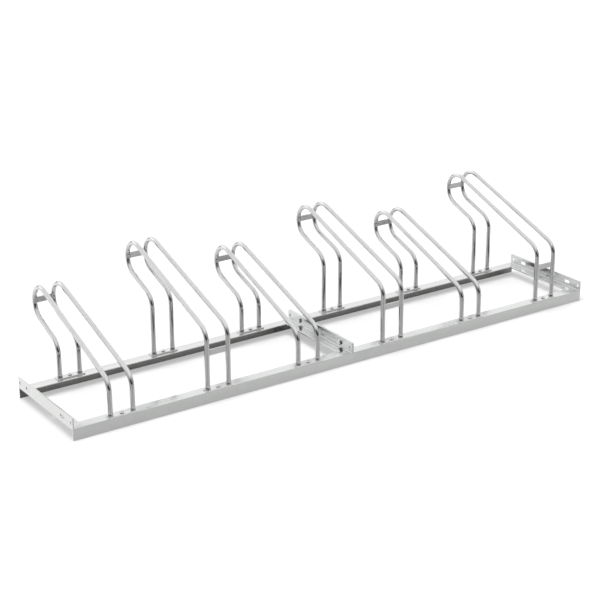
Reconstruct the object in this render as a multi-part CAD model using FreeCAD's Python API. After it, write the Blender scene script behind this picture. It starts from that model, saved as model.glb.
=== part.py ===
import FreeCAD, Part
import math
import os

os.makedirs("parts", exist_ok=True)

V = FreeCAD.Vector

# ---------------------------------------------------------------- dimensions
# All sizes in millimetres. X runs along the rack, Y from the front to the
# back, Z up. The origin is the centre of the rack's footprint box, on the floor.

module_length = 1050.0        # one module of three places
place_pitch = 350.0
places_per_module = 3
frame_depth = 384.0           # over the outer faces of the two rails

angle_leg = 40.0              # rolled angle 40 x 40 x 4
angle_t = 4.0
angle_outer_r = 0.8           # outer corner of the angle
rail_root_r = 3.0
end_root_r = 5.0
toe_r = 2.0
upright_corner_r = 6.0        # free corners of the end angles' upright legs

hole_d = 11.0                 # round holes in the end angles
slot_w = 11.0
slot_l = 28.0
hole_from_end = 12.0
slot_from_end = 70.0
anchor_y = 190.0              # floor anchor hole in the end angle's flat leg
anchor_from_face = 20.0

plate_l = 100.0               # foot plate
plate_w = 25.0
plate_t = 4.0
plate_corner_r = 1.5
front_plate_y = 13.1          # middle of the front foot plates
back_plate_y = 369.0          # middle of the back foot plates
foot_hole_d = 9.0
front_bolt_y = 13.6
back_bolt_y = 369.0

tube_d = 16.0
tube_wall = 1.5
front_leg_y = 13.3            # tube axis over the front rail
back_leg_y = 368.8            # tube axis over the back rail
pair_gap_front = 78.57        # distance between the two tube axes at the front leg
pair_taper_deg = 0.568        # each tube's plane turns inward by this angle
slant_deg = 20.0
upper_slant_z = 329.0         # height of the upper slant's axis at slant_ref_y
lower_slant_z = 203.4
slant_ref_y = 250.0
front_bend_r = 56.5
back_bend_r = 57.5
nose_r = 59.0
low_drop = 85.0               # the low hoops stand this much lower

bar_h = 20.0                  # flat bars between the tubes
bar_t = 5.0
front_bar_z = 169.5

front_gap_clear = 0.0

# derived levels
flange_top = angle_leg
plate_top = flange_top + plate_t
nose_y_max = None             # filled in below
X0 = -module_length           # left end
tan_s = math.tan(math.radians(slant_deg))

# depth of the whole rack: front face of the rails to the noses
nose_mid_dz = (upper_slant_z - lower_slant_z) / 2.0
nose_centre_y = 472.4
nose_y_max = nose_centre_y + nose_r
overall_depth = nose_y_max + tube_d / 2.0
Y0 = -overall_depth / 2.0     # Y of the front faces in the rack's own frame

place_x = [X0 + place_pitch * (i + 0.5) for i in range(2 * places_per_module)]
high_places = (1, 3, 5)       # counted from 0


def P(x, y, z):
    """x from the middle of the rack, y from the front face, z from the floor"""
    return V(x, y + Y0, z)


def face_of(points):
    edges = []
    n = len(points)
    for i in range(n):
        edges.append(Part.LineSegment(points[i], points[(i + 1) % n]).toShape())
    return Part.Face(Part.Wire(edges))


def cyl(r, h, base, axis):
    return Part.makeCylinder(r, h, base, axis)


def clean(s):
    s = s.removeSplitter()
    if s.ShapeType == "Compound" and len(s.Solids) == 1:
        s = s.Solids[0]
    if s.ShapeType == "CompSolid" and len(s.Solids) == 1:
        s = s.Solids[0]
    return s


def fillet_profile(pts, radii, to3d):
    """closed profile with rounded corners; pts are (u, v), radii per corner"""
    n = len(pts)
    ent = []
    cut = []
    for i in range(n):
        p0, p1, p2 = pts[i - 1], pts[i], pts[(i + 1) % n]
        r = radii[i]
        a = (p0[0] - p1[0], p0[1] - p1[1])
        b = (p2[0] - p1[0], p2[1] - p1[1])
        la, lb = math.hypot(*a), math.hypot(*b)
        a = (a[0] / la, a[1] / la)
        b = (b[0] / lb, b[1] / lb)
        if r <= 0:
            cut.append((p1, p1, None))
            continue
        ang = math.acos(max(-1, min(1, a[0] * b[0] + a[1] * b[1])))
        t = r / math.tan(ang / 2)
        q0 = (p1[0] + a[0] * t, p1[1] + a[1] * t)
        q1 = (p1[0] + b[0] * t, p1[1] + b[1] * t)
        m = (a[0] + b[0], a[1] + b[1])
        lm = math.hypot(*m)
        d = r / math.sin(ang / 2)
        c = (p1[0] + m[0] / lm * d, p1[1] + m[1] / lm * d)
        mid = (c[0] - m[0] / lm * r, c[1] - m[1] / lm * r)
        cut.append((q0, q1, mid))
    for i in range(n):
        q0, q1, mid = cut[i]
        nxt = cut[(i + 1) % n][0]
        if mid is not None:
            ent.append(Part.Arc(to3d(*q0), to3d(*mid), to3d(*q1)).toShape())
        if math.hypot(nxt[0] - q1[0], nxt[1] - q1[1]) > 1e-6:
            ent.append(Part.LineSegment(to3d(*q1), to3d(*nxt)).toShape())
    return Part.Face(Part.Wire(ent))


def export(name, shape):
    solids = shape.Solids
    assert shape.isValid(), name
    assert solids, name
    shape.exportStep("parts/%s.step" % name)
    print("%-26s solids %2d  volume %10.1f" % (name, len(solids), sum(s.Volume for s in solids)))


built = {}


# ---------------------------------------------------------------- rails
# Upright leg on the outside, flange on top pointing inward. The flange is
# mitred at both ends, the upright leg runs the module's whole length.
def rail(x_from, front):
    pts = [(0, 0), (0, angle_leg), (angle_leg, angle_leg),
           (angle_leg, angle_leg - angle_t), (angle_t, angle_leg - angle_t), (angle_t, 0)]
    radii = [0, angle_outer_r, 0, toe_r, rail_root_r, toe_r]

    def to3d(u, w):
        y = u if front else frame_depth - u
        return P(x_from, y, w)
    body = fillet_profile(pts, radii, to3d).extrude(V(module_length, 0, 0))
    # mitres
    e = angle_leg + 1
    for at, s in ((x_from, 1), (x_from + module_length, -1)):
        def q(dx, dy):
            y = dy if front else frame_depth - dy
            return P(at + s * dx, y, angle_leg - angle_t)
        wedge = face_of([q(0, 0), q(e, e), q(-1, e), q(-1, 0)]).extrude(V(0, 0, angle_t + 1))
        body = body.cut(wedge)
    by = front_bolt_y if front else back_bolt_y
    for x in place_x:
        if x_from < x < x_from + module_length:
            body = body.cut(cyl(foot_hole_d / 2, angle_t + 2, P(x, by, angle_leg - angle_t - 1), V(0, 0, 1)))
    return clean(body)


for side, xf in (("left", X0), ("right", 0.0)):
    built["front_rail_" + side] = rail(xf, True)
    built["back_rail_" + side] = rail(xf, False)


# ---------------------------------------------------------------- end angles
# Flat leg level with the rail flanges and mitred into them, upright leg on
# the outside, standing up, its free corners rounded.
def end_angle(x_face, s):
    """x_face: outer face; s = +1 if the flat leg points to +X"""
    zb = angle_leg - angle_t
    zt = zb + angle_leg
    pts = [(0, zb), (0, zt), (angle_t, zt), (angle_t, angle_leg), (angle_leg, angle_leg), (angle_leg, zb)]
    radii = [angle_outer_r, 0, toe_r, end_root_r, toe_r, 0]
    body = fillet_profile(pts, radii, lambda u, w: P(x_face + s * u, 0, w)).extrude(V(0, frame_depth, 0))
    e = angle_leg + 1
    for near, sy in ((0.0, 1), (frame_depth, -1)):
        def q(dx, dy):
            return P(x_face + s * dx, near + sy * dy, zb - 1)
        wedge = face_of([q(0, 0), q(e, e), q(e, -1), q(0, -1)]).extrude(V(0, 0, angle_t + 1))
        body = body.cut(wedge)
        # rounded free corner of the upright leg
        r = upright_corner_r
        blk = Part.makeBox(angle_t + 2, r + 1, r + 1,
                           P(min(x_face, x_face + s * angle_t) - 1, -1 if sy > 0 else frame_depth - r, zt - r))
        c = cyl(r, angle_t + 4, P(min(x_face, x_face + s * angle_t) - 2, near + sy * r, zt - r), V(1, 0, 0))
        body = body.cut(blk.cut(c))
        # the root fillet stops at the rail flange's outer edge
    zh = zb + angle_leg / 2
    xa = min(x_face, x_face + s * angle_t) - 1
    for y in (hole_from_end, frame_depth - hole_from_end):
        body = body.cut(cyl(hole_d / 2, angle_t + 2, P(xa, y, zh), V(1, 0, 0)))
    for y in (slot_from_end, frame_depth - slot_from_end):
        h = (slot_l - slot_w) / 2
        slot = Part.makeBox(angle_t + 2, 2 * h, slot_w, P(xa, y - h, zh - slot_w / 2))
        slot = slot.fuse(cyl(slot_w / 2, angle_t + 2, P(xa, y - h, zh), V(1, 0, 0)))
        slot = slot.fuse(cyl(slot_w / 2, angle_t + 2, P(xa, y + h, zh), V(1, 0, 0)))
        body = body.cut(slot.removeSplitter())
    body = body.cut(cyl(hole_d / 2, angle_t + 2, P(x_face + s * anchor_from_face, anchor_y, zb - 1), V(0, 0, 1)))
    return clean(body)


built["end_angle_far_left"] = end_angle(X0, 1)
built["end_angle_mid_left"] = end_angle(0.0, -1)
built["end_angle_mid_right"] = end_angle(0.0, 1)
built["end_angle_far_right"] = end_angle(-X0, -1)


# ---------------------------------------------------------------- hoops
def centre_line(drop):
    """points of the tube's axis in its own plane: (s, z) runs and arcs"""
    def up(y):
        return upper_slant_z - drop + tan_s * (y - slant_ref_y)

    def lo(y):
        return lower_slant_z - drop + tan_s * (y - slant_ref_y)
    half = math.radians((90 - slant_deg) / 2)
    ss, cs = math.sin(math.radians(slant_deg)), math.cos(math.radians(slant_deg))
    t1 = front_bend_r * math.tan(half)
    k1 = (front_leg_y, up(front_leg_y))
    a0 = (front_leg_y, plate_top)
    a1 = (k1[0], k1[1] - t1)
    a2 = (k1[0] + t1 * cs, k1[1] + t1 * ss)
    c1 = (front_leg_y + front_bend_r, a1[1])
    m1 = mid_arc(c1, front_bend_r, a1, a2)
    nc = (nose_centre_y, (up(nose_centre_y) + lo(nose_centre_y)) / 2)
    b1 = (nc[0] - nose_r * ss, nc[1] + nose_r * cs)
    b2 = (nc[0] + nose_r * ss, nc[1] - nose_r * cs)
    m2 = (nc[0] + nose_r * cs, nc[1] + nose_r * ss)
    t3 = back_bend_r * math.tan(half)
    k3 = (back_leg_y, lo(back_leg_y))
    d1 = (k3[0] + t3 * cs, k3[1] + t3 * ss)
    d2 = (k3[0], k3[1] - t3)
    c3 = (back_leg_y + back_bend_r, d2[1])
    m3 = mid_arc(c3, back_bend_r, d1, d2)
    d3 = (back_leg_y, plate_top)
    return a0, a1, m1, a2, b1, m2, b2, d1, m3, d2, d3, nc


def mid_arc(c, r, p, q):
    mx, mz = (p[0] + q[0]) / 2 - c[0], (p[1] + q[1]) / 2 - c[1]
    l = math.hypot(mx, mz)
    return (c[0] + mx / l * r, c[1] + mz / l * r)


def tube(place, side):
    """side -1 left, +1 right; returns the tube and its filled outer shape"""
    drop = 0.0 if place in high_places else low_drop
    a0, a1, m1, a2, b1, m2, b2, d1, m3, d2, d3, nc = centre_line(drop)
    xc = place_x[place] + side * pair_gap_front / 2
    ang = side * math.radians(pair_taper_deg)   # the plane leans inward to the back

    def T(p):
        s = p[0] - front_leg_y
        return P(xc - math.sin(ang) * s, front_leg_y + math.cos(ang) * s, p[1])
    edges = [Part.LineSegment(T(a0), T(a1)).toShape(),
             Part.Arc(T(a1), T(m1), T(a2)).toShape(),
             Part.LineSegment(T(a2), T(b1)).toShape(),
             Part.Arc(T(b1), T(m2), T(b2)).toShape(),
             Part.LineSegment(T(b2), T(d1)).toShape(),
             Part.Arc(T(d1), T(m3), T(d2)).toShape(),
             Part.LineSegment(T(d2), T(d3)).toShape()]
    path = Part.Wire(edges)
    shapes = []
    for r in (tube_d / 2, tube_d / 2 - tube_wall):
        circ = Part.Wire([Part.makeCircle(r, T(a0), V(0, 0, 1))])
        s = path.makePipeShell([circ], True, False)
        shapes.append(s)
        want = math.pi * r * r * path.Length
        assert abs(abs(s.Volume) - want) < 0.002 * want, (s.Volume, want)
    outer, bore = shapes
    return outer.cut(bore), outer, path.Length


outers = {}
for i in range(2 * places_per_module):
    for side, name in ((-1, "left"), (1, "right")):
        t, o, length = tube(i, side)
        built["hoop_%d_%s_tube" % (i + 1, name)] = t
        outers[(i, side)] = o
    if i < 2:
        print("tube length", round(length, 1))


# ---------------------------------------------------------------- flat bars
def pair_x(i, y):
    """half distance of the two tube axes at depth y"""
    return pair_gap_front / 2 - math.tan(math.radians(pair_taper_deg)) * (y - front_leg_y)


def flat_bar(i, y, z):
    h = pair_x(i, y)
    b = Part.makeBox(2 * h, bar_t, bar_h, P(place_x[i] - h, y - bar_t / 2, z - bar_h / 2))
    b = b.cut(outers[(i, -1)]).cut(outers[(i, 1)])
    big = max(b.Solids, key=lambda s: s.Volume)
    return big


for i in range(2 * places_per_module):
    drop = 0.0 if i in high_places else low_drop
    nz = centre_line(drop)[-1][1]
    built["nose_bar_%d" % (i + 1)] = flat_bar(i, nose_y_max - 0.4, nz)
for i in high_places:
    built["front_bar_%d" % (i + 1)] = flat_bar(i, front_leg_y, front_bar_z)


# ---------------------------------------------------------------- foot plates
def foot_plate(x, y, bolt_y):
    pts = [(-plate_l / 2, -plate_w / 2), (plate_l / 2, -plate_w / 2), (plate_l / 2, plate_w / 2), (-plate_l / 2, plate_w / 2)]
    f = fillet_profile(pts, [plate_corner_r] * 4, lambda u, w: P(x + u, y + w, flange_top))
    b = f.extrude(V(0, 0, plate_t))
    return b.cut(cyl(foot_hole_d / 2, plate_t + 2, P(x, bolt_y, flange_top - 1), V(0, 0, 1)))


for i, x in enumerate(place_x):
    built["front_foot_plate_%d" % (i + 1)] = foot_plate(x, front_plate_y, front_bolt_y)
    built["back_foot_plate_%d" % (i + 1)] = foot_plate(x, back_plate_y, back_bolt_y)


# ---------------------------------------------------------------- fasteners
# Foot bolt: button head with a hexagon socket, M8, head down to the plate.
m8_head_d = 14.5
m8_head_h = 4.4
m8_socket_af = 5.0
m8_socket_depth = 2.6
m8_length = 20.0
m8_nut_af = 13.0
m8_nut_h = 8.0
# Joining bolt: hexagon head M10
m10_head_af = 16.0
m10_head_h = 6.4
m10_length = 25.0
m10_nut_h = 8.4
m10_washer_d = 20.0
m10_washer_t = 2.0


def hexagon(af, base, axis, ref, h):
    """hexagonal prism; ref is the direction of one corner"""
    r = af / 2 / math.cos(math.radians(30))
    axis = V(axis).normalize()
    u = V(ref).normalize()
    w = axis.cross(u)
    pts = [base + u * (r * math.cos(math.radians(60 * k))) + w * (r * math.sin(math.radians(60 * k))) for k in range(6)]
    return face_of(pts).extrude(axis * h)


def chamfered_hex(af, base, axis, ref, h, both=False):
    """hexagonal prism whose corners are turned off by a cone on its far face"""
    prism = hexagon(af, base, axis, ref, h)
    r = af / 2 / math.cos(math.radians(30))
    axis = V(axis).normalize()
    k = math.tan(math.radians(30))
    r_face = af / 2 * 0.97
    dz = (r + 1 - r_face) * k
    cone = Part.makeCone(r + 1 + 0.0, r_face, dz, base + axis * (h - dz), axis)
    low = cyl(r + 1, h - dz + 0.001, base, axis)
    body = prism.common(low.fuse(cone))
    if both:
        cone2 = Part.makeCone(r_face, r + 1, dz, base, axis)
        up = cyl(r + 1, h - dz, base + axis * dz, axis)
        body = body.common(cone2.fuse(up))
    return clean(body)


def button_bolt(x, y, z_seat):
    """revolved button head and shank, then a hexagon socket"""
    r, h = m8_head_d / 2, m8_head_h
    rim = 0.7
    top_r = 3.6
    # profile in the XZ plane: axis at x, seat at z_seat
    o = P(x, y, z_seat)

    def q(u, w):
        return o + V(u, 0, w)
    a = q(top_r, h)
    b = q(r, rim)
    # the dome is an arc through a middle point
    m = q(top_r + (r - top_r) * 0.62, rim + (h - rim) * 0.66)
    tip = -m8_length
    e = [Part.LineSegment(q(0, h), a).toShape(),
         Part.Arc(a, m, b).toShape(),
         Part.LineSegment(b, q(r, 0.25)).toShape(),
         Part.LineSegment(q(r, 0.25), q(r - 0.25, 0)).toShape(),
         Part.LineSegment(q(r - 0.25, 0), q(4.0, 0)).toShape(),
         Part.LineSegment(q(4.0, 0), q(4.0, tip + 1.0)).toShape(),
         Part.LineSegment(q(4.0, tip + 1.0), q(3.0, tip)).toShape(),
         Part.LineSegment(q(3.0, tip), q(0, tip)).toShape(),
         Part.LineSegment(q(0, tip), q(0, h)).toShape()]
    body = Part.Face(Part.Wire(e)).revolve(o, V(0, 0, 1), 360)
    sock = hexagon(m8_socket_af, o + V(0, 0, h - m8_socket_depth), V(0, 0, 1), V(1, 0, 0), m8_socket_depth + 1)
    return clean(body.cut(sock))


def lock_nut(x, y, z_seat):
    """M8 nut with a collar, under the flange: its bearing face is z_seat"""
    o = P(x, y, z_seat)
    down = V(0, 0, -1)
    body = chamfered_hex(m8_nut_af, o, down, V(1, 0, 0), m8_nut_h - 1.5)
    collar = cyl(5.6, 1.5, o + V(0, 0, -(m8_nut_h - 1.5)), down)
    body = body.fuse(collar)
    return clean(body.cut(cyl(4.0, m8_nut_h + 2, o + V(0, 0, 1), down)))


bolts, nuts = [], []
for i, x in enumerate(place_x):
    for by in (front_bolt_y, back_bolt_y):
        bolts.append(button_bolt(x, by, plate_top))
        nuts.append(lock_nut(x, by, flange_top - angle_t))
built["foot_bolts"] = Part.makeCompound(bolts)
built["foot_nuts"] = Part.makeCompound(nuts)

jb, jn, jw = [], [], []
join_z = angle_leg - angle_t + angle_leg / 2
for y in (slot_from_end, frame_depth - slot_from_end):
    seat = P(-angle_t, y, join_z)
    head = chamfered_hex(m10_head_af, seat, V(-1, 0, 0), V(0, -1, 0), m10_head_h)
    shank = cyl(5.0, m10_length - 1.2, seat, V(1, 0, 0))
    tip = Part.makeCone(5.0, 3.8, 1.2, seat + V(m10_length - 1.2, 0, 0), V(1, 0, 0))
    jb.append(clean(head.fuse(shank).fuse(tip)))
    w0 = P(angle_t, y, join_z)
    jw.append(cyl(m10_washer_d / 2, m10_washer_t, w0, V(1, 0, 0)).cut(cyl(5.25, m10_washer_t + 2, w0 - V(1, 0, 0), V(1, 0, 0))))
    n0 = P(angle_t + m10_washer_t, y, join_z)
    nut = chamfered_hex(m10_head_af, n0, V(1, 0, 0), V(0, -1, 0), m10_nut_h)
    jn.append(clean(nut.cut(cyl(5.0, m10_nut_h + 2, n0 - V(1, 0, 0), V(1, 0, 0)))))
built["joining_bolts"] = Part.makeCompound(jb)
built["joining_washers"] = Part.makeCompound(jw)
built["joining_nuts"] = Part.makeCompound(jn)

box = None
for name in sorted(built):
    export(name, built[name])
    b = built[name].BoundBox
    if box is None:
        box = FreeCAD.BoundBox(b)
    else:
        box.add(b)
print(len(built), "nodes; box", [round(v, 2) for v in (box.XMin, box.XMax, box.YMin, box.YMax, box.ZMin, box.ZMax)])
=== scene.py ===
import math
import bpy
import bmesh
import numpy as np
from mathutils import Matrix, Vector, noise

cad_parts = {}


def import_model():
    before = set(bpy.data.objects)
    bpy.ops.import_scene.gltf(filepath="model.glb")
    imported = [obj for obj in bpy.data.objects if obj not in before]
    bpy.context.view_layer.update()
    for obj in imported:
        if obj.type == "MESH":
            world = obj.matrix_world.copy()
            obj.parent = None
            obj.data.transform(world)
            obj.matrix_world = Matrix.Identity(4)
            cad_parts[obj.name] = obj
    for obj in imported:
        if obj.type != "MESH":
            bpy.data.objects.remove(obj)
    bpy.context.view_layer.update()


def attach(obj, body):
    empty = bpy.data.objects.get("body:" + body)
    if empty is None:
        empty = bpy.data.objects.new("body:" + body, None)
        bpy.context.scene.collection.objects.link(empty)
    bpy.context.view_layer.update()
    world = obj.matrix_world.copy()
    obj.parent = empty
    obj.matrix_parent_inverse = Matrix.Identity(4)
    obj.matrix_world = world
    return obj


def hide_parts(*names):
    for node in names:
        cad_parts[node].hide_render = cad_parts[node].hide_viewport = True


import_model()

# ------------------------------------------------------------ sizes, metres
MM = 0.001
DEPTH = 384.0
YMAX = 539.4
Y0 = -YMAX / 2
PLACE_X = [-1050 + 350 * (i + 0.5) for i in range(6)]
HIGH = (1, 3, 5)
ANGLE, T = 40.0, 4.0
PLATE_TOP = 44.0
R_TUBE = 7.96
FRONT_Y, BACK_Y = 13.3, 368.8
GAP_F, TAPER = 78.57, math.radians(0.568)
SL = math.radians(20.0)
UP_Z, LO_Z, REF_Y = 329.0, 203.4, 250.0
R_FB, R_BB, R_N, NOSE_Y = 56.5, 57.5, 59.0, 472.4
DROP = 85.0


def P(x, y, z):
    """millimetres: x from the middle, y from the front face, z from the floor"""
    return Vector((x * MM, (y + Y0) * MM, z * MM))


# ------------------------------------------------------------ materials
def new_material(name):
    m = bpy.data.materials.new(name)
    m.use_nodes = True
    nt = m.node_tree
    nt.nodes.clear()
    return m, nt


class Net:
    """small helper for writing node networks"""

    def __init__(self, nt):
        self.nt = nt

    def add(self, kind, **inputs):
        n = self.nt.nodes.new(kind)
        for k, v in inputs.items():
            if k.startswith("_"):
                setattr(n, k[1:], v)
        return n

    def link(self, a, b):
        self.nt.links.new(a, b)


def zinc(name, base, rough, patch_scale=38.0, patch_amount=0.06, streak=None, bump=0.02,
         wave=0.25, wave_scale=9.0, fine_scale=900.0, edge=0.10, tint=(1.0, 1.0, 1.0), rough_var=0.10, spangle=0.5):
    """galvanised or zinc-plated steel: soft patches of spangle, faint flow marks, small dull spots,
    slightly brighter worn edges, and a surface that isn't quite flat"""
    m, nt = new_material(name)
    N = Net(nt)
    out = N.add("ShaderNodeOutputMaterial")
    bsdf = N.add("ShaderNodeBsdfPrincipled")
    bsdf.inputs["Metallic"].default_value = 1.0
    bsdf.inputs["IOR"].default_value = 1.45
    N.link(bsdf.outputs["BSDF"], out.inputs["Surface"])
    tc = N.add("ShaderNodeTexCoord")
    mp = N.add("ShaderNodeMapping")
    if streak:
        mp.inputs["Scale"].default_value = streak
    N.link(tc.outputs["Object"], mp.inputs["Vector"])
    # spangle: soft crystal patches
    vor = N.add("ShaderNodeTexVoronoi")
    vor.feature = "SMOOTH_F1"
    vor.inputs["Scale"].default_value = patch_scale * 2.2
    vor.inputs["Smoothness"].default_value = 0.6
    N.link(tc.outputs["Object"], vor.inputs["Vector"])
    noi = N.add("ShaderNodeTexNoise")
    noi.inputs["Scale"].default_value = patch_scale
    noi.inputs["Detail"].default_value = 5.0
    noi.inputs["Roughness"].default_value = 0.58
    N.link(mp.outputs["Vector"], noi.inputs["Vector"])
    mixf = N.add("ShaderNodeMix")
    mixf.data_type = "FLOAT"
    mixf.inputs[0].default_value = spangle
    N.link(noi.outputs["Fac"], mixf.inputs[2])
    sep = N.add("ShaderNodeSeparateColor")
    N.link(vor.outputs["Color"], sep.inputs[0])
    N.link(sep.outputs[0], mixf.inputs[3])
    # colour
    ramp = N.add("ShaderNodeValToRGB")
    lo = [max(0.0, base * (1 - 1.6 * patch_amount) * t) for t in tint]
    hi = [min(1.0, base * (1 + 1.1 * patch_amount) * t) for t in tint]
    ramp.color_ramp.elements[0].position = 0.25
    ramp.color_ramp.elements[0].color = (*lo, 1)
    ramp.color_ramp.elements[1].position = 0.78
    ramp.color_ramp.elements[1].color = (*hi, 1)
    N.link(mixf.outputs[0], ramp.inputs["Fac"])
    # edges rubbed a little brighter
    geo = N.add("ShaderNodeNewGeometry")
    er = N.add("ShaderNodeMapRange")
    er.inputs["From Min"].default_value = 0.52
    er.inputs["From Max"].default_value = 0.62
    er.inputs["To Min"].default_value = 0.0
    er.inputs["To Max"].default_value = edge
    N.link(geo.outputs["Pointiness"], er.inputs["Value"])
    # small dull spots and specks
    sp = N.add("ShaderNodeTexNoise")
    sp.inputs["Scale"].default_value = 420.0
    sp.inputs["Detail"].default_value = 3.0
    N.link(tc.outputs["Object"], sp.inputs["Vector"])
    spr = N.add("ShaderNodeMapRange")
    spr.inputs["From Min"].default_value = 0.66
    spr.inputs["From Max"].default_value = 0.74
    spr.inputs["To Min"].default_value = 0.0
    spr.inputs["To Max"].default_value = 0.22
    N.link(sp.outputs["Fac"], spr.inputs["Value"])
    c1 = N.add("ShaderNodeMix")
    c1.data_type = "RGBA"
    c1.inputs[7].default_value = (min(1, base * 1.35 * tint[0]), min(1, base * 1.35 * tint[1]), min(1, base * 1.35 * tint[2]), 1)
    N.link(er.outputs["Result"], c1.inputs[0])
    N.link(ramp.outputs["Color"], c1.inputs[6])
    c2 = N.add("ShaderNodeMix")
    c2.data_type = "RGBA"
    c2.inputs[7].default_value = (base * 0.62, base * 0.63, base * 0.64, 1)
    N.link(spr.outputs["Result"], c2.inputs[0])
    N.link(c1.outputs[2], c2.inputs[6])
    N.link(c2.outputs[2], bsdf.inputs["Base Color"])
    # roughness follows the patches, streaks and specks
    rr = N.add("ShaderNodeMapRange")
    rr.inputs["From Min"].default_value = 0.25
    rr.inputs["From Max"].default_value = 0.8
    rr.inputs["To Min"].default_value = max(0.02, rough - rough_var * 0.5)
    rr.inputs["To Max"].default_value = rough + rough_var * 0.5
    N.link(mixf.outputs[0], rr.inputs["Value"])
    ra = N.add("ShaderNodeMath")
    ra.operation = "ADD"
    N.link(rr.outputs["Result"], ra.inputs[0])
    N.link(spr.outputs["Result"], ra.inputs[1])
    N.link(ra.outputs[0], bsdf.inputs["Roughness"])
    # surface: long waves, orange peel, fine grain
    wn = N.add("ShaderNodeTexNoise")
    wn.inputs["Scale"].default_value = wave_scale
    wn.inputs["Detail"].default_value = 2.0
    N.link(mp.outputs["Vector"], wn.inputs["Vector"])
    fn = N.add("ShaderNodeTexNoise")
    fn.inputs["Scale"].default_value = fine_scale
    fn.inputs["Detail"].default_value = 2.0
    N.link(tc.outputs["Object"], fn.inputs["Vector"])
    b1 = N.add("ShaderNodeBump")
    b1.inputs["Strength"].default_value = wave
    b1.inputs["Distance"].default_value = 0.0012
    N.link(wn.outputs["Fac"], b1.inputs["Height"])
    b2 = N.add("ShaderNodeBump")
    b2.inputs["Strength"].default_value = bump
    b2.inputs["Distance"].default_value = 0.0003
    N.link(fn.outputs["Fac"], b2.inputs["Height"])
    N.link(b1.outputs["Normal"], b2.inputs["Normal"])
    b3 = N.add("ShaderNodeBump")
    b3.inputs["Strength"].default_value = bump * 1.5
    b3.inputs["Distance"].default_value = 0.0006
    N.link(mixf.outputs[0], b3.inputs["Height"])
    N.link(b2.outputs["Normal"], b3.inputs["Normal"])
    N.link(b3.outputs["Normal"], bsdf.inputs["Normal"])
    return m


RHO = 0.52
MAT_ANGLE = zinc("galvanised_angle_steel", RHO, 0.20, patch_scale=26.0, patch_amount=0.035, bump=0.04, wave=0.07,
                 wave_scale=7.0, edge=0.5, streak=(0.35, 1.0, 1.0), tint=(0.985, 1.0, 0.99))
MAT_TUBE = zinc("galvanised_tube_steel", RHO, 0.06, patch_scale=60.0, patch_amount=0.05, bump=0.03, wave=0.03,
                wave_scale=22.0, edge=0.2, streak=(1.0, 0.30, 0.30), rough_var=0.08, spangle=0.3)
MAT_FLAT = zinc("galvanised_flat_steel", RHO, 0.20, patch_scale=55.0, patch_amount=0.045, bump=0.04, wave=0.07,
                wave_scale=25.0, edge=0.5)
# painted shade: a darker copy of the angle zinc for the rails' inner faces under the flange and their down-turned faces
MAT_SHADED_INSIDE = zinc("galvanised_painted_shade_inside", RHO * 0.42, 0.30, patch_scale=26.0, patch_amount=0.06, bump=0.05, wave=0.07,
                 wave_scale=7.0, edge=0.3, streak=(0.35, 1.0, 1.0), tint=(1.0, 0.995, 0.98))
MAT_CUT = zinc("galvanised_cut_edge", 0.80, 0.60, patch_scale=90.0, patch_amount=0.07, bump=0.10, wave=0.20,
               wave_scale=60.0, edge=0.3)
MAT_WELD = zinc("galvanised_weld_bead", RHO, 0.12, patch_scale=300.0, patch_amount=0.08, bump=0.08, wave=0.10,
                wave_scale=140.0, edge=0.3, rough_var=0.12, spangle=0.2)
MAT_BOLT = zinc("zinc_plated_fastener", 0.60, 0.20, patch_scale=140.0, patch_amount=0.06, bump=0.04, wave=0.10,
                wave_scale=60.0, edge=0.5, rough_var=0.08, spangle=0.2)


def finish_piece(obj, nodes, mat, smooth_angle=None):
    obj.data.materials.clear()
    obj.data.materials.append(mat)
    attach(obj, "root")
    if nodes:
        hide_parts(*nodes)
    return obj


def object_from_bm(bm, name, smooth=True):
    bmesh.ops.recalc_face_normals(bm, faces=bm.faces)
    me = bpy.data.meshes.new(name)
    bm.to_mesh(me)
    bm.free()
    if smooth:
        me.polygons.foreach_set("use_smooth", [True] * len(me.polygons))
    o = bpy.data.objects.new(name, me)
    bpy.context.scene.collection.objects.link(o)
    return o


def applied(obj):
    """the object's mesh with its modifiers made part of it"""
    dg = bpy.context.evaluated_depsgraph_get()
    me = bpy.data.meshes.new_from_object(obj.evaluated_get(dg))
    old = obj.data
    obj.modifiers.clear()
    obj.data = me
    bpy.data.meshes.remove(old)
    return obj


def cut(obj, cutter):
    md = obj.modifiers.new("cut", "BOOLEAN")
    md.operation = "DIFFERENCE"
    md.solver = "EXACT"
    md.object = cutter
    bpy.context.view_layer.update()
    applied(obj)
    me = cutter.data
    bpy.data.objects.remove(cutter)
    bpy.data.meshes.remove(me)
    return obj


def soften(obj, width=0.4, segments=2, angle=35):
    """rounds the sharp edges a little, as pickling and zinc do"""
    bm = bmesh.new()
    bm.from_mesh(obj.data)
    bmesh.ops.remove_doubles(bm, verts=bm.verts, dist=2e-6)
    bmesh.ops.dissolve_limit(bm, angle_limit=math.radians(0.5), verts=bm.verts, edges=bm.edges)
    bm.to_mesh(obj.data)
    bm.free()
    md = obj.modifiers.new("edges", "BEVEL")
    md.width = width * MM
    md.segments = segments
    md.limit_method = "ANGLE"
    md.angle_limit = math.radians(angle)
    md.harden_normals = True
    md.use_clamp_overlap = True
    obj.data.polygons.foreach_set("use_smooth", [True] * len(obj.data.polygons))
    bpy.context.view_layer.update()
    applied(obj)
    return obj


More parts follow.
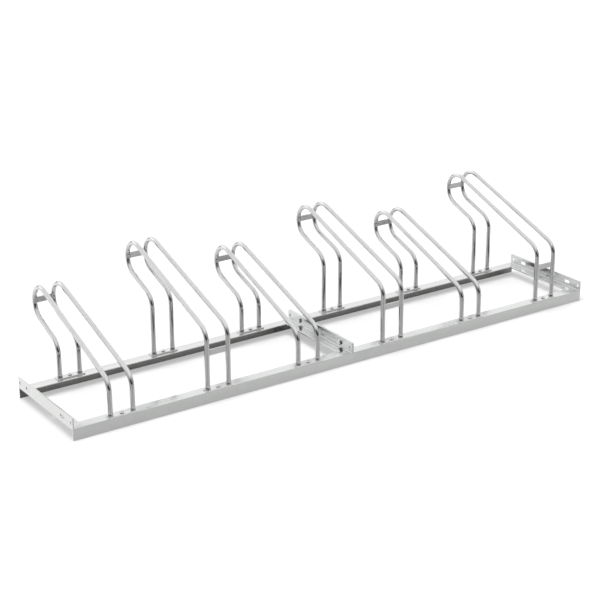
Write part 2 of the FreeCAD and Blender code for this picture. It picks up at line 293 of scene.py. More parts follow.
# ------------------------------------------------------------ profiles
def rounded(pts, radii, seg=8):
    """closed outline (u, v) with its corners rounded"""
    out = []
    n = len(pts)
    for i in range(n):
        p0, p1, p2 = (Vector(pts[i - 1]), Vector(pts[i]), Vector(pts[(i + 1) % n]))
        r = radii[i]
        if r <= 0:
            out.append(p1)
            continue
        a, b = (p0 - p1).normalized(), (p2 - p1).normalized()
        ang = a.angle(b)
        t = r / math.tan(ang / 2)
        m = (a + b).normalized()
        c = p1 + m * (r / math.sin(ang / 2))
        q0, q1 = p1 + a * t - c, p1 + b * t - c
        for k in range(seg + 1):
            f = k / seg
            th = q0.angle(q1)
            v = (q0 * math.sin((1 - f) * th) + q1 * math.sin(f * th)) / math.sin(th)
            out.append(c + v)
    return out


def extrude_outline(outline, to3d, stations):
    """outline swept through stations; to3d(u, v, s) gives the point"""
    bm = bmesh.new()
    rings = []
    for s in stations:
        rings.append([bm.verts.new(to3d(p[0], p[1], s)) for p in outline])
    n = len(outline)
    for a, b in zip(rings[:-1], rings[1:]):
        for i in range(n):
            bm.faces.new((a[i], a[(i + 1) % n], b[(i + 1) % n], b[i]))
    bm.faces.new(rings[0])
    bm.faces.new(rings[-1])
    return bm


def prism(points, vec, name="cutter"):
    bm = bmesh.new()
    lo = [bm.verts.new(p) for p in points]
    hi = [bm.verts.new(p + vec) for p in points]
    bm.faces.new(lo)
    bm.faces.new(hi)
    n = len(points)
    for i in range(n):
        bm.faces.new((lo[i], lo[(i + 1) % n], hi[(i + 1) % n], hi[i]))
    return object_from_bm(bm, name, smooth=False)


def round_cutter(c, r, axis, length, stretch=0.0, along=None, seg=40, name="cutter"):
    """cylinder, or a slot's long shape, about c"""
    axis = Vector(axis).normalized()
    u = Vector(along).normalized() if along is not None else axis.orthogonal().normalized()
    w = axis.cross(u)
    pts = []
    for k in range(seg):
        a = 2 * math.pi * (k + 0.5) / seg
        d = u * math.cos(a) * r * MM + w * math.sin(a) * r * MM
        d += u * (stretch * MM if math.cos(a) > 0 else -stretch * MM)
        pts.append(c + d - axis * (length / 2 * MM))
    return prism(pts, axis * (length * MM), name)


# ------------------------------------------------------------ rails
def rail(side, front):
    x0 = -1050.0 if side == "left" else 0.0
    pts = [(0, 0), (0, ANGLE), (ANGLE, ANGLE), (ANGLE, ANGLE - T), (T, ANGLE - T), (T, 0)]
    outline = rounded(pts, [0, 0.8, 0, 2.0, 3.0, 2.0])

    def to3d(u, v, s):
        return P(s, u if front else DEPTH - u, v)
    bm = extrude_outline(outline, to3d, [x0, x0 + 1050.0])
    name = ("front" if front else "back") + "_rail_" + side
    o = object_from_bm(bm, name + "_steel", smooth=False)
    e = ANGLE + 1
    for at, s in ((x0, 1), (x0 + 1050.0, -1)):
        def q(dx, dy):
            return P(at + s * dx, dy if front else DEPTH - dy, ANGLE - T)
        cut(o, prism([q(0, 0), q(e, e), q(-1, e), q(-1, 0)], Vector((0, 0, (T + 1) * MM))))
    for x in PLACE_X:
        if x0 < x < x0 + 1050:
            cut(o, round_cutter(P(x, 13.6 if front else 369.0, ANGLE - T / 2), 4.5, (0, 0, 1), T + 4))
    soften(o, 0.45)
    finish_piece(o, [name], MAT_ANGLE)
    # painted shade: inner faces below the flange and faces turned downwards get the darker zinc
    o.data.materials.append(MAT_SHADED_INSIDE)
    s_in = 1 if front else -1
    for f in o.data.polygons:
        if s_in * f.normal.y > 0.5 and f.center.z < (ANGLE - T + 0.3) * MM and abs(f.center.y * 1000 - Y0 - (0 if front else DEPTH)) < 20:
            f.material_index = 1
        elif f.normal.z < -0.5 and f.center.z > 0.02:
            f.material_index = 1
    return o


for sd in ("left", "right"):
    rail(sd, True)
    rail(sd, False)


# ------------------------------------------------------------ end angles
def end_angle(name, x_face, s):
    zb, zt = ANGLE - T, 2 * ANGLE - T
    pts = [(0, zb), (0, zt), (T, zt), (T, ANGLE), (ANGLE, ANGLE), (ANGLE, zb)]
    outline = rounded(pts, [0.8, 0, 2.0, 2.0, 2.0, 0])

    def to3d(u, v, y):
        return P(x_face + s * u, y, v)
    bm = extrude_outline(outline, to3d, [0, DEPTH])
    o = object_from_bm(bm, name + "_steel", smooth=False)
    e = ANGLE + 1
    for near, sy in ((0.0, 1), (DEPTH, -1)):
        def q(dx, dy):
            return P(x_face + s * dx, near + sy * dy, zb - 1)
        cut(o, prism([q(-1, -1), q(0, 0), q(e, e), q(e, -1)], Vector((0, 0, (T + 1) * MM))))
        # rounded free corner of the upright leg
        r = 6.0
        c = (near + sy * r, zt - r)
        ring = [P(x_face - s * 2, near - sy * 2, zt + 2), P(x_face - s * 2, c[0], zt + 2)]
        for k in range(13):
            a = math.pi / 2 * k / 12
            ring.append(P(x_face - s * 2, c[0] - sy * r * math.sin(a), c[1] + r * math.cos(a)))
        ring.append(P(x_face - s * 2, near - sy * 2, c[1]))
        cut(o, prism(ring, Vector((s * (T + 4) * MM, 0, 0))))
    zh = zb + ANGLE / 2
    for y in (12.0, DEPTH - 12.0):
        cut(o, round_cutter(P(x_face + s * T / 2, y, zh), 5.5, (1, 0, 0), T + 4))
    for y in (70.0, DEPTH - 70.0):
        cut(o, round_cutter(P(x_face + s * T / 2, y, zh), 5.5, (1, 0, 0), T + 4, stretch=8.5, along=(0, 1, 0)))
    cut(o, round_cutter(P(x_face + s * 20.0, 190.0, zb + T / 2), 5.5, (0, 0, 1), T + 4))
    soften(o, 0.45)
    return finish_piece(o, [name], MAT_ANGLE)


end_angle("end_angle_far_left", -1050.0, 1)
end_angle("end_angle_mid_left", 0.0, -1)
end_angle("end_angle_mid_right", 0.0, 1)
end_angle("end_angle_far_right", 1050.0, -1)


# ------------------------------------------------------------ hoops
def centre_line(drop):
    """dense list of (y, z, turned) along the tube's axis, from the front foot to the back foot"""
    ts, cs, sn = math.tan(SL), math.cos(SL), math.sin(SL)

    def up(y):
        return UP_Z - drop + ts * (y - REF_Y)

    def lo(y):
        return LO_Z - drop + ts * (y - REF_Y)
    half = math.radians(35.0)
    t1 = R_FB * math.tan(half)
    k1 = (FRONT_Y, up(FRONT_Y))
    a1 = (k1[0], k1[1] - t1)
    c1 = (FRONT_Y + R_FB, a1[1])
    nc = (NOSE_Y, (up(NOSE_Y) + lo(NOSE_Y)) / 2)
    t3 = R_BB * math.tan(half)
    k3 = (BACK_Y, lo(BACK_Y))
    d2 = (BACK_Y, k3[1] - t3)
    c3 = (BACK_Y + R_BB, d2[1])
    pts = []

    def run(p, q, step=12.0):
        n = max(2, int(math.hypot(q[0] - p[0], q[1] - p[1]) / step))
        for k in range(n + 1):
            pts.append((p[0] + (q[0] - p[0]) * k / n, p[1] + (q[1] - p[1]) * k / n))

    def arc(c, r, a0, a1, step=2.5):
        n = max(4, int(abs(a1 - a0) / step))
        for k in range(n + 1):
            a = math.radians(a0 + (a1 - a0) * k / n)
            pts.append((c[0] + r * math.cos(a), c[1] + r * math.sin(a)))
    run((FRONT_Y, PLATE_TOP), a1)
    arc(c1, R_FB, 180, 110)
    b1 = (nc[0] - R_N * sn, nc[1] + R_N * cs)
    run(pts[-1], b1)
    arc(nc, R_N, 110, -70)
    d1 = (c3[0] + R_BB * math.cos(math.radians(110)), c3[1] + R_BB * math.sin(math.radians(110)))
    run(pts[-1], d1)
    arc(c3, R_BB, 110, 180)
    run(pts[-1], (BACK_Y, PLATE_TOP))
    clean = [pts[0]]
    for p in pts[1:]:
        if math.hypot(p[0] - clean[-1][0], p[1] - clean[-1][1]) > 0.05:
            clean.append(p)
    return clean, nc


def axis_x(place, side, y):
    return PLACE_X[place] + side * (GAP_F / 2 - math.tan(TAPER) * (y - FRONT_Y))


def tube(place, side):
    drop = 0.0 if place in HIGH else DROP
    line, nc = centre_line(drop)
    xc = PLACE_X[place] + side * GAP_F / 2
    ang = side * TAPER
    u = Vector((-math.sin(ang), math.cos(ang), 0))       # along the plane, to the back
    b = Vector((math.cos(ang), math.sin(ang), 0))        # across the plane
    up = Vector((0, 0, 1))
    base = P(xc, FRONT_Y, 0)
    SEG = 48
    bm = bmesh.new()
    rings = []
    n = len(line)
    for i, (y, z) in enumerate(line):
        c = base + u * ((y - FRONT_Y) * MM) + up * (z * MM)
        p0, p1 = line[max(0, i - 1)], line[min(n - 1, i + 1)]
        t2 = Vector((p1[0] - p0[0], p1[1] - p0[1])).normalized()
        if i == 0:
            t2 = Vector((0, 1))
        if i == n - 1:
            t2 = Vector((0, -1))
        nrm = u * (-t2[1]) + up * t2[0]
        rings.append([bm.verts.new(c + (nrm * math.cos(2 * math.pi * k / SEG) + b * math.sin(2 * math.pi * k / SEG)) * (R_TUBE * MM))
                      for k in range(SEG)])
    for r0, r1 in zip(rings[:-1], rings[1:]):
        for k in range(SEG):
            bm.faces.new((r0[k], r0[(k + 1) % SEG], r1[(k + 1) % SEG], r1[k]))
    for r in (rings[0], rings[-1]):
        f = bm.faces.new(r)
    name = "hoop_%d_%s_tube" % (place + 1, "left" if side < 0 else "right")
    o = object_from_bm(bm, name + "_steel")
    for f in o.data.polygons:
        if len(f.vertices) > 4:
            f.use_smooth = False
    return finish_piece(o, [name], MAT_TUBE)


for pl in range(6):
    for sd in (-1, 1):
        tube(pl, sd)


# ------------------------------------------------------------ weld beads
def lumps(seed, a, amount):
    """uneven weld size round its path; a is the angle in radians"""
    v = noise.noise(Vector((math.cos(a) * 1.3 + seed * 7.1, math.sin(a) * 1.3, seed * 3.3)))
    w = noise.noise(Vector((math.cos(a) * 4.0 + seed * 2.7, math.sin(a) * 4.0, seed * 5.9)))
    return 1 + amount * (v + 0.5 * w)


def foot_weld(name, place, side, y, seed):
    """fillet round a tube's foot, on the foot plate"""
    c = P(axis_x(place, side, y), y, PLATE_TOP)
    NA, NS = 120, 9
    bm = bmesh.new()
    rings = []
    ripples = 30
    for i in range(NA):
        a = 2 * math.pi * i / NA
        leg = 1.9 * lumps(seed, a, 0.28)
        high = 7.6 * lumps(seed + 40, a, 0.14)
        ring = []
        for k in range(NS):
            f = k / (NS - 1)
            # a slightly bulging fillet, from the tube's wall down to the plate
            bulge = 0.22 * math.sin(math.pi * f) * (1 + 0.25 * math.sin(ripples * a + 1.2 * f))
            rr = R_TUBE - 0.25 + leg * f
            zz = high * (1 - f)
            rr += bulge * 0.70
            zz += bulge * 0.70
            if k == NS - 1:
                zz = -0.0
            ring.append((rr, zz))
        ring.append((R_TUBE - 1.2, -0.0))
        ring.append((R_TUBE - 1.2, high * 0.9))
        # the bead stays on the plate's width in front and behind
        vs = []
        for rr, zz in ring:
            p = c + Vector((math.cos(a), math.sin(a), 0)) * (rr * MM) + Vector((0, 0, zz * MM))
            vs.append(bm.verts.new(p))
        rings.append(vs)
    m = len(rings[0])
    for i in range(NA):
        r0, r1 = rings[i], rings[(i + 1) % NA]
        for k in range(m):
            bm.faces.new((r0[k], r0[(k + 1) % m], r1[(k + 1) % m], r1[k]))
    o = object_from_bm(bm, name)
    return finish_piece(o, [], MAT_WELD)


for pl in range(6):
    for sd in (-1, 1):
        tag = "left" if sd < 0 else "right"
        foot_weld("weld_front_%d_%s" % (pl + 1, tag), pl, sd, FRONT_Y, pl * 4 + sd + 1)
        foot_weld("weld_back_%d_%s" % (pl + 1, tag), pl, sd, BACK_Y, pl * 4 + sd + 2.5)


def bar_weld(name, place, y_bar, z_bar, nose, seed):
    """small beads round both ends of a flat bar, where it meets the tubes"""
    bm = bmesh.new()
    drop = 0.0 if place in HIGH else DROP
    nc = centre_line(drop)[1]
    for side in (-1, 1):
        loop = []
        w, h, rc = 2.5, 10.0, 1.0
        corner = [(w, h), (-w, h), (-w, -h), (w, -h)]
        outline = rounded([(a, b) for a, b in corner], [rc] * 4, seg=4)
        dense = []
        for i in range(len(outline)):
            p, q = outline[i], outline[(i + 1) % len(outline)]
            k = max(1, int((q - p).length / 0.7))
            for j in range(k):
                dense.append(p + (q - p) * (j / k))
        n = len(dense)
        centres = []
        for q in dense:
            y, z = y_bar + q[0], z_bar + q[1]
            if nose:
                d = math.hypot(y - nc[0], z - nc[1]) - R_N
            else:
                d = y - FRONT_Y
            dx = math.sqrt(max(1.0, R_TUBE ** 2 - d * d))
            x = axis_x(place, side, y) - side * (dx + 0.35)
            centres.append(Vector((x, y, z)))
        rings = []
        M = 10
        for i in range(n):
            t = (centres[(i + 1) % n] - centres[i - 1]).normalized()
            out = Vector((0, dense[i][0], dense[i][1]))
            q = dense[i]
            # outward from the bar's section
            o2 = Vector((0, q[0] if abs(q[0]) > w - rc - 0.01 and abs(q[1]) < h - rc else (0.0 if abs(q[1]) > h - 0.2 else q[0]), 0))
            nrm = Vector((0, 0, 0))
            dxy = (max(-w + rc, min(w - rc, q[0])), max(-h + rc, min(h - rc, q[1])))
            nrm = Vector((0, q[0] - dxy[0], q[1] - dxy[1]))
            if nrm.length < 1e-6:
                nrm = out
            nrm.normalize()
            bx = t.cross(nrm).normalized()
            a = 2 * math.pi * i / n
            r = 1.25 * lumps(seed + side * 3, a, 0.30) * (1 + 0.08 * math.sin(26 * a))
            ring = []
            for k in range(M):
                th = 2 * math.pi * k / M
                p = centres[i] + (nrm * math.cos(th) + bx * math.sin(th)) * r
                ring.append(bm.verts.new(P(p.x, p.y, p.z)))
            rings.append(ring)
        for i in range(n):
            r0, r1 = rings[i], rings[(i + 1) % n]
            for k in range(M):
                bm.faces.new((r0[k], r0[(k + 1) % M], r1[(k + 1) % M], r1[k]))
    o = object_from_bm(bm, name)
    return finish_piece(o, [], MAT_WELD)


# ------------------------------------------------------------ flat bars
def flat_bar(name, place, y_bar, z_bar, nose):
    """bar between the two tubes, its ends following the tubes' walls"""
    drop = 0.0 if place in HIGH else DROP
    nc = centre_line(drop)[1]
    NY, NZ = 8, 20
    bm = bmesh.new()
    w, h = 2.5, 10.0
    sec = rounded([(-w, -h), (w, -h), (w, h), (-w, h)], [0.6] * 4, seg=3)
    dense = []
    for i in range(len(sec)):
        p, q = sec[i], sec[(i + 1) % len(sec)]
        k = max(1, int((q - p).length / 1.2))
        for j in range(k):
            dense.append(p + (q - p) * (j / k))
    rings = []
    for f in (0.0, 0.03, 0.5, 0.97, 1.0):
        ring = []
        for q in dense:
            y, z = y_bar + q[0], z_bar + q[1]
            d = (math.hypot(y - nc[0], z - nc[1]) - R_N) if nose else (y - FRONT_Y)
            dx = math.sqrt(max(0.5, R_TUBE ** 2 - d * d)) - 0.15
            xl, xr = axis_x(place, -1, y) + dx, axis_x(place, 1, y) - dx
            ring.append(bm.verts.new(P(xl + (xr - xl) * f, y, z)))
        rings.append(ring)
    n = len(dense)
    for r0, r1 in zip(rings[:-1], rings[1:]):
        for k in range(n):
            bm.faces.new((r0[k], r0[(k + 1) % n], r1[(k + 1) % n], r1[k]))
    bm.faces.new(rings[0])
    bm.faces.new(rings[-1])
    bmesh.ops.triangulate(bm, faces=[f for f in bm.faces if len(f.verts) > 4])
    o = object_from_bm(bm, name + "_steel")
    for p in o.data.polygons:
        if abs(p.normal.x) > 0.6:
            p.use_smooth = False
    return finish_piece(o, [name], MAT_FLAT)


for pl in range(6):
    drop = 0.0 if pl in HIGH else DROP
    zc = centre_line(drop)[1][1]
    flat_bar("nose_bar_%d" % (pl + 1), pl, 531.0, zc, True)
    bar_weld("weld_nose_bar_%d" % (pl + 1), pl, 531.0, zc, True, pl + 0.3)
    if pl in HIGH:
        flat_bar("front_bar_%d" % (pl + 1), pl, FRONT_Y, 169.5, False)
        bar_weld("weld_front_bar_%d" % (pl + 1), pl, FRONT_Y, 169.5, False, pl + 9.3)


# ------------------------------------------------------------ foot plates
def foot_plate(name, x, y, bolt_y):
    pts = [(-50, -12.5), (50, -12.5), (50, 12.5), (-50, 12.5)]
    outline = rounded(pts, [1.5] * 4, seg=4)
    bm = extrude_outline(outline, lambda u, v, s: P(x + u, y + v, s), [ANGLE, PLATE_TOP])
    o = object_from_bm(bm, name + "_steel", smooth=False)
    cut(o, round_cutter(P(x, bolt_y, ANGLE + T / 2), 4.5, (0, 0, 1), T + 4))
    # only the upper edges are rounded; the cut sides are rougher than the rolled top
    bm = bmesh.new()
    bm.from_mesh(o.data)
    top = (PLATE_TOP - 0.05) * MM
    edges = [e for e in bm.edges if all(v.co.z > top for v in e.verts) and len(e.link_faces) == 2
             and e.calc_face_angle() > 0.6]
    bmesh.ops.bevel(bm, geom=edges, offset=0.35 * MM, segments=2, affect="EDGES", clamp_overlap=True)
    bm.to_mesh(o.data)
    bm.free()
    finish_piece(o, [name], MAT_FLAT)
    o.data.materials.append(MAT_CUT)
    for f in o.data.polygons:
        if abs(f.normal.z) < 0.3:
            f.material_index = 1
    return o


for pl, px in enumerate(PLACE_X):
    foot_plate("front_foot_plate_%d" % (pl + 1), px, 13.1, 13.6)
    foot_plate("back_foot_plate_%d" % (pl + 1), px, 369.0, 369.0)


# ------------------------------------------------------------ fasteners
def lathe(profile, seg=48):
    """profile of (r, z), closed onto the axis at both ends"""
    bm = bmesh.new()
    rings = []
    for r, z in profile:
        if r < 1e-6:
            rings.append([bm.verts.new((0, 0, z * MM))])
        else:
            rings.append([bm.verts.new((r * MM * math.cos(2 * math.pi * k / seg), r * MM * math.sin(2 * math.pi * k / seg), z * MM)) for k in range(seg)])
    for a, b in zip(rings[:-1], rings[1:]):
        for k in range(seg):
            if len(a) == 1:
                bm.faces.new((a[0], b[(k + 1) % seg], b[k]))
            elif len(b) == 1:
                bm.faces.new((a[k], a[(k + 1) % seg], b[0]))
            else:
                bm.faces.new((a[k], a[(k + 1) % seg], b[(k + 1) % seg], b[k]))
    return bm


def merge(parts, name):
    """one object of several meshes; parts are (mesh, matrix)"""
    bm = bmesh.new()
    for me, mx in parts:
        tmp = bmesh.new()
        tmp.from_mesh(me)
        tmp.transform(mx)
        t = bpy.data.meshes.new("tmp")
        tmp.to_mesh(t)
        tmp.free()
        bm.from_mesh(t)
        bpy.data.meshes.remove(t)
    me = bpy.data.meshes.new(name)
    bm.to_mesh(me)
    bm.free()
    o = bpy.data.objects.new(name, me)
    bpy.context.scene.collection.objects.link(o)
    return o


def thread_shank(r, pitch, z_from, z_to, depth, seg=36):
    """closed rod with a screw thread on it"""
    step = pitch / 8
    n = int((z_to - z_from) / step)
    prof = []
    bm = bmesh.new()
    rings = []
    for i in range(n + 1):
        z = z_from + (z_to - z_from) * i / n
        end = min(1.0, (z - z_from) / 1.2)
        ring = []
        for k in range(seg):
            a = 2 * math.pi * k / seg
            f = ((z - pitch * k / seg) / pitch) % 1.0
            g = depth * min(1.0, max(0.0, 1.25 * abs(2 * f - 1) - 0.12))
            rr = (r - g) * (0.80 + 0.20 * end)
            ring.append(bm.verts.new((rr * MM * math.cos(a), rr * MM * math.sin(a), z * MM)))
        rings.append(ring)
    for a, b in zip(rings[:-1], rings[1:]):
        for k in range(seg):
            bm.faces.new((a[k], a[(k + 1) % seg], b[(k + 1) % seg], b[k]))
    bm.faces.new(rings[0])
    bm.faces.new(rings[-1])
    return bm


# button head M8: dome, hexagon socket, shank with thread
prof = [(0, 4.4), (3.55, 4.4), (3.8, 4.34)]
for k in range(1, 13):
    f = k / 12
    a = math.radians(12 + 66 * f)
    # dome from the flat top down to the rim
    r = 3.8 + (7.15 - 3.8) * math.sin(math.pi / 2 * f)
    z = 4.34 - (4.34 - 0.75) * (1 - math.cos(math.pi / 2 * f))
    prof.append((r, z))
prof += [(7.25, 0.55), (7.22, 0.2), (7.05, 0.0), (4.0, 0.0), (4.0, -5.0), (4.0, -7.0)]
head_bm = lathe(prof + [(0, -7.0)], 56)
head = object_from_bm(head_bm, "button_head", smooth=True)
sock = []
for k in range(6):
    a = math.radians(60 * k)
    sock.append(Vector((2.5 / math.cos(math.radians(30)) * MM * math.cos(a), 2.5 / math.cos(math.radians(30)) * MM * math.sin(a), 1.9 * MM)))
cut(head, prism(sock, Vector((0, 0, 5 * MM))))
soften(head, 0.18, 2, 38)
shank = object_from_bm(thread_shank(4.0, 1.25, -20.0, -6.9, 0.62), "button_shank")
parts_b = []
rng = np.random.default_rng(5)
for pl, px in enumerate(PLACE_X):
    for by in (13.6, 369.0):
        mx = Matrix.Translation(P(px, by, PLATE_TOP)) @ Matrix.Rotation(float(rng.uniform(0, math.pi)), 4, "Z")
        parts_b.append((head.data, mx))
        parts_b.append((shank.data, mx))
o = merge(parts_b, "foot_bolt_set")
finish_piece(o, ["foot_bolts"], MAT_BOLT)
for t in (head, shank):
    bpy.data.objects.remove(t)


def hex_body(af, h, top_r, seg=72):
    """hexagon whose outer face is turned off to a chamfer; corner on +X, axis +Z from 0 to h"""
    bm = bmesh.new()
    R = af / 2 / math.cos(math.radians(30))
    rows = []
    for z_i, f in enumerate((0.0, 0.80, 1.0)):
        ring = []
        for k in range(seg):
            a = 2 * math.pi * k / seg
            d = (a + math.radians(30)) % math.radians(60) - math.radians(30)
            # distance to the flat side in this direction; corners lie on multiples of 60 degrees
            flat = (af / 2) / math.cos(math.radians(30) - abs(d))
            if f == 0.0:
                r, z = flat, 0.0
            elif f < 1.0:
                r = flat
                z = h - (flat - top_r) * math.tan(math.radians(30))
                z = min(z, h - 0.05)
            else:
                r, z = top_r, h
            ring.append(bm.verts.new((r * MM * math.cos(a), r * MM * math.sin(a), z * MM)))
        rows.append(ring)
    for a, b in zip(rows[:-1], rows[1:]):
        for k in range(seg):
            bm.faces.new((a[k], a[(k + 1) % seg], b[(k + 1) % seg], b[k]))
    bm.faces.new(rows[0])
    bm.faces.new(rows[-1])
    return bm


def turn_to(axis, ref):
    """matrix whose Z is axis and X is ref"""
    z = Vector(axis).normalized()
    x = Vector(ref).normalized()
    y = z.cross(x)
    return Matrix((x, y, z)).transposed().to_4x4()


# lock nuts M8 below the flanges
nut = object_from_bm(hex_body(13.0, 6.5, 6.2), "nut_body", smooth=False)
col = object_from_bm(lathe([(0, 6.4), (5.6, 6.4), (5.6, 7.6), (5.3, 8.0), (4.3, 8.0), (4.0, 7.7), (0, 7.7)]), "nut_collar", smooth=False)
soften(nut, 0.2, 2, 30)
soften(col, 0.15, 2, 30)
parts_n = []
for pl, px in enumerate(PLACE_X):
    for by in (13.6, 369.0):
        mx = Matrix.Translation(P(px, by, ANGLE - T)) @ turn_to((0, 0, -1), (1, 0, 0))
        parts_n.append((nut.data, mx))
        parts_n.append((col.data, mx))
o = merge(parts_n, "foot_nut_set")
finish_piece(o, ["foot_nuts"], MAT_BOLT)
for t in (nut, col):
    bpy.data.objects.remove(t)

# joining bolts M10, with washers and nuts on the right
hexh = object_from_bm(hex_body(16.0, 6.4, 7.6), "hex_head", smooth=False)
soften(hexh, 0.25, 2, 30)
shank = object_from_bm(thread_shank(5.0, 1.5, -25.0, 0.0, 0.75), "hex_shank")
nut = object_from_bm(hex_body(16.0, 8.4, 7.6), "hex_nut", smooth=False)
soften(nut, 0.25, 2, 30)
wash = object_from_bm(lathe([(0, 0), (9.8, 0), (10.0, 0.2), (10.0, 1.8), (9.8, 2.0), (0, 2.0)]), "washer", smooth=False)
soften(wash, 0.1, 1, 30)
pb, pn, pw = [], [], []
for y in (70.0, DEPTH - 70.0):
    left = Matrix.Translation(P(-T, y, 56.0)) @ turn_to((-1, 0, 0), (0, -1, 0))
    pb += [(hexh.data, left), (shank.data, left)]
    pw.append((wash.data, Matrix.Translation(P(T, y, 56.0)) @ turn_to((1, 0, 0), (0, -1, 0))))
    pn.append((nut.data, Matrix.Translation(P(T + 2, y, 56.0)) @ turn_to((1, 0, 0), (0, -1, 0))))
finish_piece(merge(pb, "joining_bolt_set"), ["joining_bolts"], MAT_BOLT)
finish_piece(merge(pw, "joining_washer_set"), ["joining_washers"], MAT_BOLT)
finish_piece(merge(pn, "joining_nut_set"), ["joining_nuts"], MAT_BOLT)
for t in (hexh, shank, nut, wash):
    bpy.data.objects.remove(t)


# ------------------------------------------------------------ floor
FLOOR_SEEN, FLOOR_MATT = 0.21, 0.12


def floor_material(name, matt, satin, share, fall, glow=0.0, rough=0.60):
    """white studio floor, part matt and part satin; its colour is painted darker towards the camera's end of the room,
    a painted fall-off of the light
    """
    m, nt = new_material(name)
    N = Net(nt)
    out = N.add("ShaderNodeOutputMaterial")
    d = N.add("ShaderNodeBsdfDiffuse")
    g = N.add("ShaderNodeBsdfGlossy")
    g.inputs["Roughness"].default_value = rough
    mx = N.add("ShaderNodeMixShader")
    mx.inputs[0].default_value = share
    geo = N.add("ShaderNodeNewGeometry")
    dt = N.add("ShaderNodeVectorMath")
    dt.operation = "DOT_PRODUCT"
    dt.inputs[1].default_value = (-0.5635, -0.8261, 0.0)
    N.link(geo.outputs["Position"], dt.inputs[0])
    mr = N.add("ShaderNodeMapRange")
    mr.interpolation_type = "SMOOTHSTEP"
    mr.inputs["From Min"].default_value = 1.5
    mr.inputs["From Max"].default_value = 3.6
    mr.inputs["To Min"].default_value = 0.0
    mr.inputs["To Max"].default_value = 1.0
    N.link(dt.outputs["Value"], mr.inputs["Value"])
    # painted shade: the colour drops by the factor fall towards the camera's end of the room
    for node, near in ((d, matt), (g, satin)):
        mc = N.add("ShaderNodeMix")
        mc.data_type = "RGBA"
        mc.inputs[6].default_value = (near, near, near * 0.995, 1)
        mc.inputs[7].default_value = (near * fall, near * fall, near * fall, 1)
        N.link(mr.outputs["Result"], mc.inputs[0])
        N.link(mc.outputs[2], node.inputs["Color"])
    N.link(d.outputs[0], mx.inputs[1])
    N.link(g.outputs[0], mx.inputs[2])
    if glow:
        # painted light: the floor glows, weakly near the object, which lifts the shadows there, and more strongly
        # further out, so the light on the floor doesn't fall off away from the object
        e = N.add("ShaderNodeEmission")
        far = N.add("ShaderNodeVectorMath")
        far.operation = "LENGTH"
        N.link(geo.outputs["Position"], far.inputs[0])
        gr = N.add("ShaderNodeMapRange")
        gr.interpolation_type = "SMOOTHSTEP"
        gr.inputs["From Min"].default_value = 0.9
        gr.inputs["From Max"].default_value = 2.6
        gr.inputs["To Min"].default_value = glow
        gr.inputs["To Max"].default_value = 0.95
        N.link(far.outputs["Value"], gr.inputs["Value"])
        N.link(gr.outputs["Result"], e.inputs["Strength"])
        ad = N.add("ShaderNodeAddShader")
        N.link(mx.outputs[0], ad.inputs[0])
        N.link(e.outputs[0], ad.inputs[1])
        N.link(ad.outputs[0], out.inputs["Surface"])
    else:
        N.link(mx.outputs[0], out.inputs["Surface"])
    return m


def floor_sheet(name, z, mat):
    bm = bmesh.new()
    bmesh.ops.create_grid(bm, x_segments=2, y_segments=2, size=60.0)
    o = object_from_bm(bm, name, smooth=False)
    o.location.z = z
    o.data.materials.append(mat)
    return o


# the floor that is seen, with its painted glow, and a darker copy of the same floor that only reflections see: painted
# shade in what the metal reflects
floor = floor_sheet("floor", 0.0, floor_material("pale_floor", FLOOR_SEEN, 0.5, 0.02, 1.0, 0.44))
floor.visible_glossy = False
floor.visible_diffuse = False
floor.visible_shadow = False
under = floor_sheet("floor_reflected", -0.0004, floor_material("painted_shade_floor_copy", FLOOR_MATT, 1.0, 0.78, 0.4, rough=0.42))
under.visible_camera = False


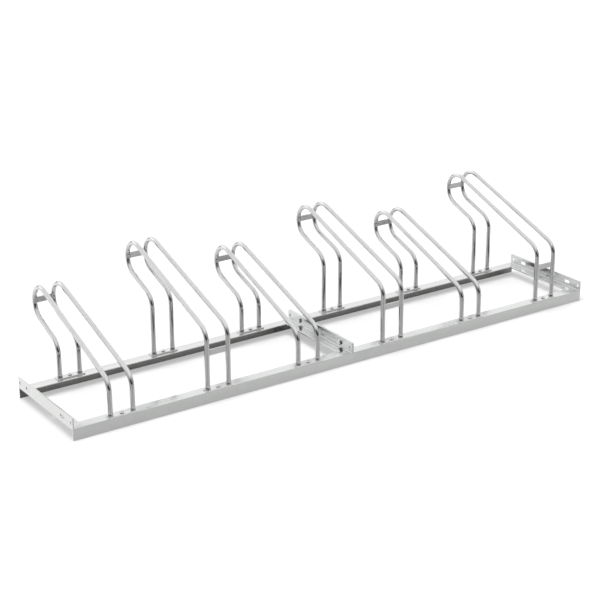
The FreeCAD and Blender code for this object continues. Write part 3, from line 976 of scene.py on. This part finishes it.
# ------------------------------------------------------------ light
def world():
    w = bpy.data.worlds.new("studio")
    bpy.context.scene.world = w
    w.use_nodes = True
    nt = w.node_tree
    nt.nodes.clear()
    N = Net(nt)
    out = N.add("ShaderNodeOutputWorld")
    bg = N.add("ShaderNodeBackground")
    N.link(bg.outputs[0], out.inputs["Surface"])
    tc = N.add("ShaderNodeTexCoord")

    def dot(vec):
        n = N.add("ShaderNodeVectorMath")
        n.operation = "DOT_PRODUCT"
        N.link(tc.outputs["Generated"], n.inputs[0])
        n.inputs[1].default_value = Vector(vec).normalized()
        return n.outputs["Value"]

    def ramp(val, a, b, lo=0.0, hi=1.0, smooth=True):
        n = N.add("ShaderNodeMapRange")
        n.interpolation_type = "SMOOTHSTEP" if smooth else "LINEAR"
        n.inputs["From Min"].default_value = a
        n.inputs["From Max"].default_value = b
        n.inputs["To Min"].default_value = lo
        n.inputs["To Max"].default_value = hi
        N.link(val, n.inputs["Value"])
        return n.outputs["Result"]

    def math_(op, a, b=0.0):
        n = N.add("ShaderNodeMath")
        n.operation = op
        for s, v in ((0, a), (1, b)):
            if isinstance(v, (int, float)):
                n.inputs[s].default_value = v
            else:
                N.link(v, n.inputs[s])
        return n.outputs[0]
    side = dot((0.8261, -0.5635, 0.0))
    front = dot((-0.5635, -0.8261, 0.0))
    up = dot((0.0, 0.0, 1.0))
    crown = dot((-0.5635 * 0.3 + 0.8261 * 0.2, -0.8261 * 0.3 - 0.5635 * 0.2, 1.0))
    back = math_("MULTIPLY", front, -1.0)
    lift = math_("MAXIMUM", ramp(crown, 0.50, 0.88), ramp(back, 0.05, 0.42, 0.0, 1.0))
    val = math_("ADD", math_("MULTIPLY", lift, TOP - SIDE), SIDE)
    # the unlit end of the room, behind the camera: a soft dark patch low over the floor
    da = math_("SUBTRACT", side, 0.03)
    dz = math_("SUBTRACT", math_("SUBTRACT", up, 0.15), math_("MULTIPLY", da, 0.35))
    qa = math_("POWER", math_("ABSOLUTE", math_("DIVIDE", da, DARK_W)), 2.0)
    qz = math_("POWER", math_("ABSOLUTE", math_("DIVIDE", dz, DARK_H)), 2.0)
    q = math_("ADD", qa, qz)
    dark = math_("EXPONENT", math_("MULTIPLY", math_("MULTIPLY", q, q), -0.8), 0.0)
    dark = math_("MULTIPLY", dark, ramp(front, 0.0, 0.3))
    val = math_("SUBTRACT", val, math_("MULTIPLY", dark, math_("SUBTRACT", val, DARK)))
    # the unlit strip where the lit floor ends, low round the whole room
    dh = math_("POWER", math_("ABSOLUTE", math_("DIVIDE", math_("SUBTRACT", up, 0.09), 0.09)), 2.0)
    strip = math_("MULTIPLY", math_("EXPONENT", math_("MULTIPLY", dh, -1.0)), STRIP)
    val = math_("SUBTRACT", val, math_("MULTIPLY", strip, val))
    # a lit wall to the back left
    wall = ramp(dot((-0.66, 0.66, 0.36)), 0.78, 0.95)
    val = math_("ADD", val, math_("MULTIPLY", wall, WALL))
    bg.inputs["Color"].default_value = (1, 1, 1, 1)
    N.link(val, bg.inputs["Strength"])


WALL = 0.65
STRIP = 0.80
TOP, SIDE, DARK, DARK_W, DARK_H = 1.42, 0.82, 0.05, 0.70, 0.38
world()


def area(name, loc, target, size, power, spread=180):
    l = bpy.data.lights.new(name, "AREA")
    l.shape = "RECTANGLE"
    l.size, l.size_y = size
    l.energy = power
    l.spread = math.radians(spread)
    o = bpy.data.objects.new(name, l)
    bpy.context.scene.collection.objects.link(o)
    o.location = loc
    d = Vector(target) - Vector(loc)
    o.rotation_euler = d.to_track_quat("-Z", "Y").to_euler()
    return o


key = area("softbox", (-1.5, 0.6, 8.5), (0, 0, 0), (6.0, 6.0), 1800.0)
key.visible_glossy = False
key.visible_camera = False


# ------------------------------------------------------------ camera
az, el, roll = math.radians(34.2986), math.radians(20.9709), math.radians(-0.1464)
d = Vector((math.sin(az) * math.cos(el), math.cos(az) * math.cos(el), -math.sin(el)))
r0 = Vector((math.cos(az), -math.sin(az), 0))
u0 = r0.cross(d)
r = r0 * math.cos(roll) + u0 * math.sin(roll)
u = -r0 * math.sin(roll) + u0 * math.cos(roll)
cam = bpy.data.cameras.new("camera")
cam.sensor_width = 36.0
cam.sensor_fit = "HORIZONTAL"
cam.lens = 1577.47 * 36.0 / 600.0
cam.clip_start, cam.clip_end = 0.05, 60
co = bpy.data.objects.new("camera", cam)
bpy.context.scene.collection.objects.link(co)
rot = Matrix((r, u, -d)).transposed()
co.matrix_world = Matrix.Translation(Vector((-1867.52 - 1050, -3961.34 + Y0, 2115.75)) * MM) @ rot.to_4x4()
bpy.context.scene.camera = co

vs = bpy.context.scene.view_settings
vs.view_transform = "Standard"
vs.look = "None"
vs.exposure = 0.0
